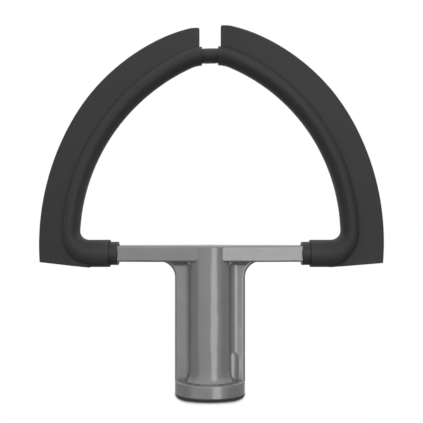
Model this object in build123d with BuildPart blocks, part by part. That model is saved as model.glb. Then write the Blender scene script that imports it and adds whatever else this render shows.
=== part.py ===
from build123d import *
import os
from math import atan2, cos, degrees, pi, sin, sqrt, tan

# Stand mixer flat beater, standing on the mouth of its shaft socket.
# X runs along the crossbar, Z up the shaft's axis, origin at the centre of the mouth.
# All sizes are in millimetres, all angles in degrees.

# Crossbar
bar_axis_z = 55.7
bar_height = 6.3
bar_depth_at_hub = 15.2
bar_depth_at_end = 10.2
bar_half_length = 36.6
bar_edge_radius = 0.9
bar_hub_blend = 2.4

# Socket tube, webs and foot of the casting
tube_radius = 8.8
web_half_width = 14.0
web_thickness = 3.6
web_edge_radius = 1.2
web_tube_blend = 3.2
web_bar_blend = 6.3
pocket_blend = 2.0
ring_radius = 14.06
ring_height = 5.4
ring_top_edge = 0.8
ring_foot_edge = 0.6
flare_height = 4.7
flare_width = 1.6

# Keyway boss on the right-hand web
boss_radius = 3.3
boss_offset = 8.6
boss_straight_z = 14.2

# Shaft bore, its keyway and the catch beside it
shaft_radius = 6.35
shaft_clearance = 0.1
bore_depth = 42.0
mouth_chamfer = 0.8
pin_reach = 7.9
pin_width = 4.4
pin_clearance = 0.2
catch_top_z = 13.3
catch_angle = 38.0

# Tangs that anchor the crossbar in the moulded arch
tang_end_gap = 2.0
tang_height = 3.6
tang_depth = 8.0
tang_hole_radius = 1.6
tang_corner = 1.0

# Line of the arch in the front view: straight end, elbow, long arm, shoulder, crown
arm_radius = 78.6
arm_widest_x = 55.7
arm_widest_z = 61.5
elbow_radius = 8.8
shoulder_radius = 15.0
crown_flat = 2.9

# Bow of each arm out of the front view's plane
arm_bow = 3.3
arm_bow_skew = 1.25

# Elliptical section of the soft sleeve: half thickness in the front view, half depth
foot_half_thick = 5.45
foot_half_depth = 7.1
arm_half_thick = 3.5
arm_half_depth = 7.0
crown_half_thick = 3.7
crown_half_depth = 6.0
sleeve_wall = 0.8
elbow_steps = 6
arm_steps = 14
crown_steps = 4
collar_length = 3.4
crown_gap = 6.5

# Scraper fin along the outside of each sleeve
fin_widest_x = 68.95
fin_widest_z = 59.7
fin_low_radius = 100.5
fin_mid_radius = 80.0
fin_top_radius = 57.5
fin_low_angle = 28.7
fin_mid_angle = 66.1
fin_foot_bow = 2.6
fin_crown_bow = 1.8
fin_bow_hump = 1.8
fin_root_thickness = 6.4
fin_tip_thickness = 2.4
fin_root_run = 14.0
fin_root_tail = 14.0
fin_foot_x = 47.6
fin_foot_slope = 4.9
fin_crown_gap = 8.5
fin_overrun = 8.0
fin_corner = 0.8
fin_stations = 10
beater_height = 146.25

# Sizes that follow from the ones above
bar_top_z = bar_axis_z + bar_height / 2
bar_bottom_z = bar_axis_z - bar_height / 2
bore_radius = shaft_radius + shaft_clearance
keyway_width = pin_width + 2 * pin_clearance
keyway_reach = pin_reach + pin_clearance

arm_centre_x = arm_widest_x - arm_radius
elbow_z = bar_axis_z + elbow_radius
elbow_x = arm_centre_x + sqrt((arm_radius - elbow_radius) ** 2 - (elbow_z - arm_widest_z) ** 2)
shoulder_x = crown_flat
shoulder_z = arm_widest_z + sqrt(
    (arm_radius - shoulder_radius) ** 2 - (shoulder_x - arm_centre_x) ** 2
)
crown_axis_z = shoulder_z + shoulder_radius
elbow_end_angle = degrees(atan2(elbow_z - arm_widest_z, elbow_x - arm_centre_x))
arm_end_angle = degrees(atan2(shoulder_z - arm_widest_z, shoulder_x - arm_centre_x))

straight_run = elbow_x - bar_half_length
tang_length = straight_run - tang_end_gap
elbow_run = elbow_radius * (90 + elbow_end_angle) * pi / 180
arm_run = arm_radius * (arm_end_angle - elbow_end_angle) * pi / 180
shoulder_run = shoulder_radius * (90 - arm_end_angle) * pi / 180
arch_run = straight_run + elbow_run + arm_run + shoulder_run + shoulder_x

fin_low_x = fin_widest_x - fin_low_radius
fin_mid_x = fin_low_x + (fin_low_radius - fin_mid_radius) * cos(fin_low_angle * pi / 180)
fin_mid_z = fin_widest_z + (fin_low_radius - fin_mid_radius) * sin(fin_low_angle * pi / 180)
fin_top_x = fin_mid_x + (fin_mid_radius - fin_top_radius) * cos(fin_mid_angle * pi / 180)
fin_top_z = fin_mid_z + (fin_mid_radius - fin_top_radius) * sin(fin_mid_angle * pi / 180)


def smooth(share):
    """Ease from 0 to 1 with level ends."""
    share = min(max(share, 0), 1)
    return share * share * (3 - 2 * share)


def bow_at(run):
    """How far the arch stands out of the front view's plane, by distance along it."""
    share = min(max((run - straight_run) / (arch_run - straight_run), 0), 1)
    return arm_bow * sin(pi * share**arm_bow_skew)


def section_at(run):
    """Half thickness and half depth of the sleeve, by distance along the arch."""
    elbow_share = smooth((run - straight_run) / elbow_run)
    arm_share = min(max((run - straight_run - elbow_run) / (arch_run - straight_run - elbow_run), 0), 1)
    thick = foot_half_thick + (arm_half_thick - foot_half_thick) * elbow_share
    thick += (crown_half_thick - arm_half_thick) * arm_share**3
    depth = foot_half_depth + (arm_half_depth - foot_half_depth) * elbow_share
    depth += (crown_half_depth - arm_half_depth) * arm_share
    return thick, depth


def draw_arch():
    """The line of the right-hand arm, seen from the front."""
    Line((bar_half_length, bar_axis_z), (elbow_x, bar_axis_z))
    CenterArc((elbow_x, elbow_z), elbow_radius, -90, 90 + elbow_end_angle)
    CenterArc(
        (arm_centre_x, arm_widest_z), arm_radius, elbow_end_angle, arm_end_angle - elbow_end_angle
    )
    CenterArc((shoulder_x, shoulder_z), shoulder_radius, arm_end_angle, 90 - arm_end_angle)
    Line((shoulder_x, crown_axis_z), (0, crown_axis_z))


with BuildLine(Plane.XZ) as arch_line:
    draw_arch()
arch_wire = arch_line.wire()


def arch_plane(run):
    """Plane square to the bowed arch: x points out of the loop, y along the beater's depth."""
    step = 0.01
    share = run / arch_run
    point = arch_wire @ share
    along = arch_wire % share
    bow_slope = (bow_at(run + step) - bow_at(run - step)) / (2 * step)
    return Plane(
        origin=(point.X, -bow_at(run), point.Z),
        x_dir=(along.Z, 0, -along.X),
        z_dir=(along.X, -bow_slope, along.Z),
    )


def oval(run, inset):
    """Section across the arch, its outline set in from the sleeve's by inset."""
    thick, depth = section_at(run)
    with BuildSketch(arch_plane(run)) as section:
        Ellipse(thick - inset, depth - inset)
    return section.sketch


def arch_body(first_x, inset):
    """The arm from first_x on its straight end to the middle of the crown."""
    elbow_stop = straight_run + elbow_run
    runs = [straight_run + elbow_run * k / elbow_steps for k in range(elbow_steps)]
    for k in range(arm_steps):
        share = k / arm_steps
        runs.append(elbow_stop + arm_run * (share - sin(2 * pi * share) / 10))
    crown_stop = elbow_stop + arm_run
    runs += [crown_stop + (arch_run - crown_stop) * k / crown_steps for k in range(crown_steps + 1)]
    with BuildPart() as body:
        loft([oval(run, inset) for run in runs])
        extrude(oval(straight_run, inset), amount=first_x - elbow_x)
    return body.part


# Crossbar in plan, flowing into the tube, with all its long edges rounded
with BuildPart() as crossbar:
    with BuildSketch(Plane.XY.offset(bar_bottom_z)) as bar_plan:
        with BuildLine():
            Polyline(
                (bar_half_length, -bar_depth_at_end / 2),
                (bar_half_length, bar_depth_at_end / 2),
                (0, bar_depth_at_hub / 2),
                (-bar_half_length, bar_depth_at_end / 2),
                (-bar_half_length, -bar_depth_at_end / 2),
                (0, -bar_depth_at_hub / 2),
                close=True,
            )
        make_face()
        Circle(tube_radius)
        blends = [v for v in bar_plan.vertices() if 0.1 < abs(v.X) < tube_radius]
        fillet(blends, bar_hub_blend)
    extrude(amount=bar_height)
    long_edges = [
        edge
        for face in (crossbar.faces().sort_by(Axis.Z)[0], crossbar.faces().sort_by(Axis.Z)[-1])
        for edge in face.edges()
        if abs(edge.center().X) < bar_half_length - 0.01
    ]
    fillet(long_edges, bar_edge_radius)

# Dome-topped boss that covers the keyway
with BuildPart() as keyway_boss:
    with BuildSketch(Plane.XY.offset(ring_height / 2)):
        with Locations((boss_offset, 0)):
            Circle(boss_radius)
    extrude(amount=boss_straight_z - ring_height / 2)
    with Locations((boss_offset, 0, boss_straight_z)):
        Sphere(boss_radius)


def web_outline(half_width, blend):
    """Front view of the webs: straight sides that sweep out into the crossbar's underside."""
    blend_z = bar_bottom_z - web_bar_blend
    sweep_x = web_half_width + web_bar_blend - sqrt(blend**2 - web_bar_blend**2)
    with BuildSketch(Plane.XZ) as outline:
        with BuildLine():
            Polyline((0, ring_height / 2), (half_width, ring_height / 2), (half_width, blend_z))
            RadiusArc((half_width, blend_z), (sweep_x, bar_bottom_z), blend)
            Polyline(
                (sweep_x, bar_bottom_z),
                (sweep_x + web_edge_radius, bar_bottom_z),
                (sweep_x + web_edge_radius, bar_axis_z),
                (0, bar_axis_z),
                (0, ring_height / 2),
            )
        make_face()
        mirror(about=Plane.YZ)
    return outline.sketch


def hub_section(half_width):
    """Section of the tube and the webs, with the hollow corners between them filled."""
    with BuildSketch() as section:
        Rectangle(2 * half_width, web_thickness)
        Circle(tube_radius)
        fillet([v for v in section.vertices() if abs(v.X) < tube_radius], web_tube_blend)
    return section.sketch


# Flat web plate with its rim fully rounded
with BuildPart() as webs:
    extrude(web_outline(web_half_width, web_bar_blend), amount=web_thickness / 2, both=True)
    rim = [
        edge
        for edge in webs.edges()
        if abs(abs(edge.center().Y) - web_thickness / 2) < 0.001
        and abs(edge.center().X) > web_half_width / 2
        and ring_height / 2 < edge.center().Z < bar_bottom_z + 0.001
    ]
    fillet(rim, web_edge_radius)

# What is hollow in front of and behind the webs; its rounded top leaves a blend under the crossbar
with BuildPart() as pockets:
    with BuildSketch(Plane.XY.offset(ring_height)) as pocket_plan:
        Rectangle(4 * web_half_width, 4 * tube_radius)
        add(hub_section(2 * web_half_width + 1), mode=Mode.SUBTRACT)
    extrude(amount=bar_bottom_z - ring_height)
    top_edges = pockets.faces().sort_by(Axis.Z)[-2:].edges()
    blend_edges = [
        edge
        for edge in top_edges
        if abs(edge.center().Y) < tube_radius + 0.1 and abs(edge.center().X) < 2 * web_half_width - 0.1
    ]
    fillet(blend_edges, pocket_blend)

# The whole casting: tube, webs, foot ring, flare, boss, crossbar and tangs, with the bore taken out
with BuildPart() as hub_frame:
    extrude(
        web_outline(web_half_width - web_edge_radius, web_bar_blend + web_edge_radius),
        amount=bar_depth_at_end / 2 - bar_edge_radius,
        both=True,
    )
    add(pockets.part, mode=Mode.SUBTRACT)
    with BuildSketch(Plane.XY.offset(ring_height / 2)):
        add(hub_section(web_half_width - web_edge_radius))
    extrude(amount=bar_axis_z - ring_height / 2)
    add(webs.part)
    with BuildSketch(Plane.XZ) as foot_half:
        with BuildLine():
            Polyline(
                (0, 0),
                (ring_radius, 0),
                (ring_radius, ring_height),
                (tube_radius + flare_width, ring_height),
            )
            RadiusArc(
                (tube_radius + flare_width, ring_height),
                (tube_radius, ring_height + flare_height),
                (flare_width**2 + flare_height**2) / (2 * flare_width),
            )
            Polyline((tube_radius, ring_height + flare_height), (0, ring_height + flare_height), (0, 0))
        make_face()
        fillet(foot_half.vertices().group_by(Axis.X)[-1].sort_by(Axis.Y)[0], ring_foot_edge)
        fillet(foot_half.vertices().group_by(Axis.X)[-1].sort_by(Axis.Y)[-1], ring_top_edge)
    revolve(axis=Axis.Z)
    add(keyway_boss.part)
    add(crossbar.part)
    for side in (-1, 1):
        with BuildSketch(Plane.YZ.offset(side * bar_half_length)):
            with Locations((0, bar_axis_z)):
                RectangleRounded(tang_depth, tang_height, tang_corner)
        extrude(amount=side * tang_length)
        with Locations((side * (bar_half_length + tang_length / 2), 0, bar_axis_z)):
            Hole(tang_hole_radius)
    with BuildSketch(Plane.XY) as bore_plan:
        Circle(bore_radius)
    extrude(amount=bore_depth, mode=Mode.SUBTRACT)
    chamfer(hub_frame.edges().group_by(Axis.Z)[0].sort_by(SortBy.RADIUS)[0], mouth_chamfer)
    with BuildSketch(Plane.XY) as keyway_plan:
        with Locations((keyway_reach / 2, 0)):
            Rectangle(keyway_reach, keyway_width)
        Circle(keyway_reach, mode=Mode.INTERSECT)
    extrude(amount=catch_top_z, mode=Mode.SUBTRACT)
    with BuildSketch(Plane.XY.rotated((0, 0, catch_angle)).offset(catch_top_z - keyway_width)):
        with Locations((keyway_reach / 2, 0)):
            Rectangle(keyway_reach, keyway_width)
        Circle(keyway_reach, mode=Mode.INTERSECT)
    extrude(amount=keyway_width, mode=Mode.SUBTRACT)

# Rigid arch: one bowed arm, and the same arm turned half a turn about the shaft
with BuildPart() as arch_arm:
    add(arch_body(bar_half_length, sleeve_wall))
with BuildPart() as carrier:
    add(arch_arm.part)
    add(arch_arm.part.rotate(Axis.Z, 180))
    add(hub_frame.part, mode=Mode.SUBTRACT)

# Outer contour of the fin: three arcs, each tangent to the next, running past both of its ends
with BuildLine(Plane.XZ) as fin_contour:
    CenterArc(
        (fin_low_x, fin_widest_z), fin_low_radius, -fin_overrun, fin_low_angle + fin_overrun
    )
    CenterArc(
        (fin_mid_x, fin_mid_z), fin_mid_radius, fin_low_angle, fin_mid_angle - fin_low_angle
    )
    CenterArc(
        (fin_top_x, fin_top_z), fin_top_radius, fin_mid_angle, 90 + fin_overrun - fin_mid_angle
    )
fin_wire = fin_contour.wire()


def fin_section(share):
    """Tapered round-tipped section of the fin, by share of the length of its contour."""
    edge = fin_wire @ share
    angle = atan2(edge.Z - arm_widest_z, edge.X - arm_centre_x)
    run = straight_run + elbow_run + arm_radius * (angle - elbow_end_angle * pi / 180)
    root = Vector(
        arm_centre_x + arm_radius * cos(angle), -bow_at(run), arm_widest_z + arm_radius * sin(angle)
    )
    bow = fin_foot_bow + (fin_crown_bow - fin_foot_bow) * share + fin_bow_hump * sin(pi * share)
    tip = Vector(edge.X, -bow, edge.Z)
    tip_radius = fin_tip_thickness / 2
    half_root = fin_root_thickness / 2
    with BuildSketch(Plane(tip, tip - root, (-sin(angle), 0, cos(angle)))) as profile:
        with BuildLine():
            Polyline(
                (-tip_radius, tip_radius),
                (-fin_root_run, half_root),
                (-fin_root_run - fin_root_tail, half_root),
                (-fin_root_run - fin_root_tail, -half_root),
                (-fin_root_run, -half_root),
                (-tip_radius, -tip_radius),
            )
            ThreePointArc((-tip_radius, -tip_radius), (0, 0), (-tip_radius, tip_radius))
        make_face()
    return profile.sketch


# One fin, trimmed in the front view to its sloping foot, its flat top and the line of the arch
with BuildPart() as fin:
    loft([fin_section(k / fin_stations) for k in range(fin_stations + 1)])
    with BuildSketch(Plane.XZ) as fin_outline:
        with BuildLine():
            fin_outer_x = fin_widest_x + fin_tip_thickness
            fin_foot_z = bar_axis_z - foot_half_thick
            fin_foot_end_z = fin_foot_z + (fin_outer_x - fin_foot_x) * tan(fin_foot_slope * pi / 180)
            Polyline(
                (fin_crown_gap / 2, beater_height),
                (fin_crown_gap / 2, bar_axis_z),
                (fin_foot_x, bar_axis_z),
                (fin_foot_x, fin_foot_z),
                (fin_outer_x, fin_foot_end_z),
                (fin_outer_x, beater_height),
                close=True,
            )
        make_face()
        top_corners = fin_outline.vertices().group_by(Axis.Y)[-1]
        fillet(top_corners.sort_by(Axis.X)[0], fin_corner)
        with BuildLine():
            draw_arch()
            Polyline((0, crown_axis_z), (0, bar_axis_z), (bar_half_length, bar_axis_z))
        make_face(mode=Mode.SUBTRACT)
    extrude(amount=beater_height / 4, both=True, mode=Mode.INTERSECT)

# Soft edge moulded round one side of the arch: sleeve and fin in one
with BuildPart() as right_edge:
    add(arch_body(bar_half_length + collar_length, 0))
    split(bisect_by=Plane.YZ.offset(crown_gap / 2))
    add(fin.part)
    add(arch_arm.part, mode=Mode.SUBTRACT)
with BuildPart() as left_edge:
    add(right_edge.part.rotate(Axis.Z, 180))

hub_frame.part.label = "hub_frame"
carrier.part.label = "carrier"
right_edge.part.label = "right_edge"
left_edge.part.label = "left_edge"
os.makedirs("parts", exist_ok=True)
for piece in (hub_frame, carrier, right_edge, left_edge):
    export_step(piece.part, "parts/" + piece.part.label + ".step")
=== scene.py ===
from math import cos, degrees, pi, radians, sin

import bpy
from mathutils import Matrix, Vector

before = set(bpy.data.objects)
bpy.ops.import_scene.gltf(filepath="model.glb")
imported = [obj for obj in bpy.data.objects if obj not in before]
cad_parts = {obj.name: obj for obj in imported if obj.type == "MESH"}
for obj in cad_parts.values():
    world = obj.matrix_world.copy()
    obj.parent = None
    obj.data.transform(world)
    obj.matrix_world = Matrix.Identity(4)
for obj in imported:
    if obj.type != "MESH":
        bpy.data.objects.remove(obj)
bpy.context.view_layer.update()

scene = bpy.context.scene
scene.view_settings.view_transform = "Standard"

# Camera: level, as far away and as high as the photo's perspective says, in metres
CAMERA_X = 0.000588
CAMERA_DISTANCE = 0.336
CAMERA_Z = 0.07244
PHOTO_SPAN = 0.1692  # what the photo's width covers at the shaft's axis
SENSOR_WIDTH = 36  # in millimetres, as the camera wants it
NEAREST_SEEN = 0.01

# Floor and its contact shadow, in metres
FLOOR_HALF = 6.0
FLOOR_GREY = 0.45
SHADOW_REACH = 0.016
SHADOW_RISE = 0.25  # of the direction, in towards the axis, in which nearness counts
SHADOW_HALF_WIDTH = 0.0128  # beyond this the shadow fades at the sides
SHADOW_FADE = 0.16
SHADOW_LEAST = 0.035  # what is left of the floor's white under the ring's edge

# Lamps and room; a level of 1 is white
LAMPS_AIM = Vector((0, 0, 0.06))
CEILING_LEVEL = 1.05
BACK_PANEL_LEVEL = 1.5
DIFFUSE_SHARE = 0.5  # of the room's level, for matt surfaces

# Numbers that are the same all over a surface
SATIN_METALLIC = 0.5
RUBBER_SPECULAR = 0.24
NYLON_SPECULAR = 0.24
# reach of the painted shade in the rubber's crevices
PAINTED_CREVICE_SHADE_REACH = 0.0022


def link(obj):
    scene.collection.objects.link(obj)
    return obj


def grey(value, tint=0.0):
    return (value, value, value * (1 + tint), 1)


class Nodes:
    """Short ways to add nodes and links to one node tree."""

    def __init__(self, tree):
        self.tree = tree
        tree.nodes.clear()

    def add(self, kind, values=None, **settings):
        node = self.tree.nodes.new(kind)
        for name, value in settings.items():
            setattr(node, name, value)
        for name, value in (values or {}).items():
            if isinstance(value, bpy.types.NodeSocket):
                self.tree.links.new(value, node.inputs[name])
            else:
                node.inputs[name].default_value = value
        return node

    def place(self):
        return self.add("ShaderNodeTexCoord").outputs["Object"]

    def noise(self, scale, detail, roughness):
        values = {"Vector": self.place(), "Scale": scale, "Detail": detail, "Roughness": roughness}
        return self.add("ShaderNodeTexNoise", values).outputs["Fac"]

    def ramp(self, value, low, high, to_low, to_high, shape="LINEAR"):
        values = {"Value": value, "From Min": low, "From Max": high, "To Min": to_low, "To Max": to_high}
        return self.add("ShaderNodeMapRange", values, interpolation_type=shape).outputs["Result"]

    def soft_ramp(self, value, low, high, to_low, to_high):
        return self.ramp(value, low, high, to_low, to_high, "SMOOTHSTEP")

    def mix(self, factor, low, high, blend="MIX"):
        values = {0: factor, 6: low, 7: high}
        return self.add("ShaderNodeMix", values, data_type="RGBA", blend_type=blend).outputs[2]

    def math(self, operation, first, second=0.0):
        return self.add("ShaderNodeMath", {0: first, 1: second}, operation=operation).outputs[0]

    def edges(self, low, high, most):
        """0 on faces and in hollows, rising to most along outer edges."""
        pointiness = self.add("ShaderNodeNewGeometry").outputs["Pointiness"]
        return self.ramp(pointiness, low, high, 0.0, most)

    def bumps(self, *layers):
        """Normal of (height, distance) layers, each on top of the one before."""
        values = {"Strength": 1.0}
        for height, distance in layers:
            values.update({"Height": height, "Distance": distance})
            values["Normal"] = self.add("ShaderNodeBump", values).outputs["Normal"]
        return values["Normal"]


def new_material(name):
    material = bpy.data.materials.new(name)
    material.use_nodes = True
    return material, Nodes(material.node_tree)


def principled(n, values):
    shader = n.add("ShaderNodeBsdfPrincipled", values)
    n.add("ShaderNodeOutputMaterial", {"Surface": shader.outputs["BSDF"]})


def cast_metal():
    """Die-cast aluminium under a satin coat: slow waves, orange peel, fine grain, paler worn edges."""
    material, n = new_material("cast_metal")
    cloud = n.noise(45, 4.0, 0.55)
    grain = n.noise(2600, 2.0, 0.6)
    peel = n.noise(330, 2.0, 0.5)
    wave = n.noise(88, 1.0, 0.4)
    colour = n.mix(n.ramp(cloud, 0.30, 0.70, 0.0, 1.0), grey(0.225, 0.01), grey(0.245, 0.012))
    colour = n.mix(n.ramp(grain, 0.35, 0.65, 0.0, 0.25), colour, grey(0.265, 0.01))
    worn = n.math("MULTIPLY", n.edges(0.53, 0.60, 1.0), n.ramp(cloud, 0.40, 0.62, 0.2, 0.8))
    colour = n.mix(worn, colour, grey(0.33, 0.01))
    rough = n.ramp(cloud, 0.30, 0.70, 0.16, 0.21)
    rough = n.math("ADD", rough, n.ramp(grain, 0.35, 0.65, -0.015, 0.03))
    normal = n.bumps((wave, 0.0007), (peel, 0.00001), (grain, 0.000004))
    principled(
        n, {"Base Color": colour, "Roughness": rough, "Normal": normal, "Metallic": SATIN_METALLIC}
    )
    return material


def soft_rubber():
    """Matt dark silicone with a fine moulded texture, a faint bloom and painted shade that darkens its
    crevices.
    """
    material, n = new_material("soft_rubber")
    cloud = n.noise(38, 5.0, 0.6)
    speck = n.noise(900, 2.0, 0.6)
    grain = n.noise(4200, 2.0, 0.5)
    colour = n.mix(n.ramp(cloud, 0.30, 0.70, 0.0, 1.0), grey(0.0325, 0.04), grey(0.0370, 0.04))
    colour = n.mix(n.ramp(speck, 0.58, 0.75, 0.0, 0.5), colour, grey(0.0450, 0.03))
    colour = n.mix(n.edges(0.52, 0.60, 0.35), colour, grey(0.053, 0.03))
    # Painted shade: the base colour turns near-black where ambient occlusion finds nearby surfaces, in
    # creases and where parts meet
    opening = n.add("ShaderNodeAmbientOcclusion", {"Distance": PAINTED_CREVICE_SHADE_REACH}, samples=16).outputs["AO"]
    colour = n.mix(n.ramp(opening, 0.45, 0.93, 0.8, 0.0), colour, grey(0.010, 0.02))
    rough = n.ramp(cloud, 0.30, 0.70, 0.53, 0.63)
    normal = n.bumps((speck, 0.000012), (grain, 0.000006))
    principled(
        n,
        {"Base Color": colour, "Roughness": rough, "Normal": normal, "Specular IOR Level": RUBBER_SPECULAR},
    )
    return material


def hard_nylon():
    """Rigid moulded core, a shade smoother than the rubber, with a spark-eroded texture."""
    material, n = new_material("hard_nylon")
    cloud = n.noise(60, 4.0, 0.6)
    grain = n.noise(2000, 3.0, 0.6)
    colour = n.mix(n.ramp(cloud, 0.30, 0.70, 0.0, 1.0), grey(0.0345, 0.03), grey(0.0385, 0.03))
    colour = n.mix(n.edges(0.53, 0.62, 0.15), colour, grey(0.050, 0.03))
    rough = n.ramp(cloud, 0.30, 0.70, 0.48, 0.58)
    normal = n.bumps((grain, 0.00001))
    principled(
        n,
        {"Base Color": colour, "Roughness": rough, "Normal": normal, "Specular IOR Level": NYLON_SPECULAR},
    )
    return material


def pale_floor():
    """Pale floor: white to the camera, with the contact shadow round the ring."""
    material, n = new_material("pale_floor")
    inward = n.add("ShaderNodeVectorMath", {0: n.place(), "Scale": -1.0}, operation="SCALE").outputs[0]
    inward = n.add("ShaderNodeVectorMath", {0: inward}, operation="NORMALIZE").outputs[0]
    up = (0.0, 0.0, SHADOW_RISE)
    inward = n.add("ShaderNodeVectorMath", {0: inward, 1: up}, operation="ADD").outputs[0]
    opening = n.add(
        "ShaderNodeAmbientOcclusion", {"Distance": SHADOW_REACH, "Normal": inward}, samples=32
    ).outputs["AO"]
    sideways = n.add("ShaderNodeSeparateXYZ", {"Vector": n.place()}).outputs["X"]
    sideways = n.math("DIVIDE", n.math("ABSOLUTE", sideways), SHADOW_HALF_WIDTH)
    fade = n.math("MULTIPLY", n.math("POWER", sideways, 8.0), SHADOW_FADE)
    light = n.soft_ramp(n.math("ADD", opening, fade), 0.615, 0.815, SHADOW_LEAST, 1.0)
    white = n.add("ShaderNodeEmission", {"Color": grey(1.0), "Strength": light}).outputs[0]
    plain = n.add("ShaderNodeBsdfDiffuse", {"Color": grey(FLOOR_GREY)}).outputs[0]
    to_camera = n.add("ShaderNodeLightPath").outputs["Is Camera Ray"]
    either = n.add("ShaderNodeMixShader", {0: to_camera, 1: plain, 2: white}).outputs[0]
    n.add("ShaderNodeOutputMaterial", {"Surface": either})
    return material


def softbox(name, azimuth, elevation, distance, width, height, radiance, mirrored):
    """Area lamp aimed at the beater; azimuth is from the camera's side, positive to the right."""
    data = bpy.data.lights.new(name, "AREA")
    data.shape = "RECTANGLE"
    data.size = width
    data.size_y = height
    data.energy = radiance * 4 * width * height
    turn, rise = radians(azimuth), radians(elevation)
    direction = Vector((sin(turn) * cos(rise), -cos(turn) * cos(rise), sin(rise)))
    lamp = link(bpy.data.objects.new(name, data))
    lamp.location = LAMPS_AIM + direction * distance
    lamp.rotation_euler = direction.to_track_quat("Z", "Y").to_euler()
    lamp.visible_glossy = mirrored


def studio_room():
    """World: white to the camera, a pale room with dimmer sides, back and ground to all else."""
    world = bpy.data.worlds.new("studio")
    world.use_nodes = True
    scene.world = world
    w = Nodes(world.node_tree)
    way = w.add("ShaderNodeTexCoord").outputs["Generated"]
    x, y, z = w.add("ShaderNodeSeparateXYZ", {"Vector": way}).outputs
    azimuth = w.math("ARCTAN2", x, w.math("MULTIPLY", y, -1.0))
    azimuth = w.math("MULTIPLY", azimuth, degrees(1))
    left = w.soft_ramp(azimuth, -72, -50, 0.50, 0.98)
    right = w.soft_ramp(azimuth, 36, 44, 1.0, 0.78)
    far_right = w.soft_ramp(azimuth, 50, 66, 1.0, 0.62)
    sides = w.math("MULTIPLY", w.math("MINIMUM", left, right), far_right)
    behind = w.soft_ramp(z, 0.05, 0.35, 0.50, 1.0)
    panel = w.math("MULTIPLY", w.soft_ramp(y, 0.88, 0.97, 0.0, 1.0), w.soft_ramp(z, -0.05, 0.05, 1.0, 0.0))
    behind = w.mix(panel, behind, grey(BACK_PANEL_LEVEL))
    ground = w.soft_ramp(z, -0.78, -0.50, 0.10, 0.38)
    level = w.mix(w.soft_ramp(y, 0.1, 0.6, 0.0, 1.0), sides, behind)
    level = w.mix(w.soft_ramp(z, 0.3, 0.75, 0.0, 1.0), level, grey(CEILING_LEVEL))
    level = w.mix(w.soft_ramp(z, -0.44, -0.22, 1.0, 0.0), level, ground)
    path = w.add("ShaderNodeLightPath").outputs
    share = w.mix(path["Is Glossy Ray"], grey(DIFFUSE_SHARE), grey(1.0))
    room = w.mix(1.0, level, share, "MULTIPLY")
    seen = w.mix(path["Is Camera Ray"], room, grey(1.0))
    sky = w.add("ShaderNodeBackground", {"Color": seen, "Strength": 1.0}).outputs[0]
    w.add("ShaderNodeOutputWorld", {"Surface": sky})


camera_data = bpy.data.cameras.new("camera")
camera_data.sensor_width = SENSOR_WIDTH
camera_data.lens = SENSOR_WIDTH * CAMERA_DISTANCE / PHOTO_SPAN
camera_data.clip_start = NEAREST_SEEN
camera = link(bpy.data.objects.new("camera", camera_data))
camera.location = (CAMERA_X, -CAMERA_DISTANCE, CAMERA_Z)
camera.rotation_euler = (pi / 2, 0, 0)
scene.camera = camera

metal, rubber, nylon = cast_metal(), soft_rubber(), hard_nylon()
dress = {"hub_frame": metal, "carrier": nylon, "right_edge": rubber, "left_edge": rubber}
for node, material in dress.items():
    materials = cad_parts[node].data.materials
    materials.clear()
    materials.append(material)

corners = [(-FLOOR_HALF, -FLOOR_HALF, 0), (FLOOR_HALF, -FLOOR_HALF, 0)]
corners += [(FLOOR_HALF, FLOOR_HALF, 0), (-FLOOR_HALF, FLOOR_HALF, 0)]
floor_mesh = bpy.data.meshes.new("floor")
floor_mesh.from_pydata(corners, [], [(0, 1, 2, 3)])
floor_mesh.materials.append(pale_floor())
floor = link(bpy.data.objects.new("floor", floor_mesh))
floor.visible_glossy = False

softbox("front_right_box", 20.9, 0, 0.95, 0.51, 1.7, 0.92, True)
softbox("front_fill", -4, 18, 1.1, 0.7, 0.5, 2.2, False)
softbox("overhead_box", 0, 75, 1.0, 0.9, 0.7, 0.9, False)
softbox("back_fill", 184, 18, 1.1, 0.7, 0.5, 3.0, False)
studio_room()
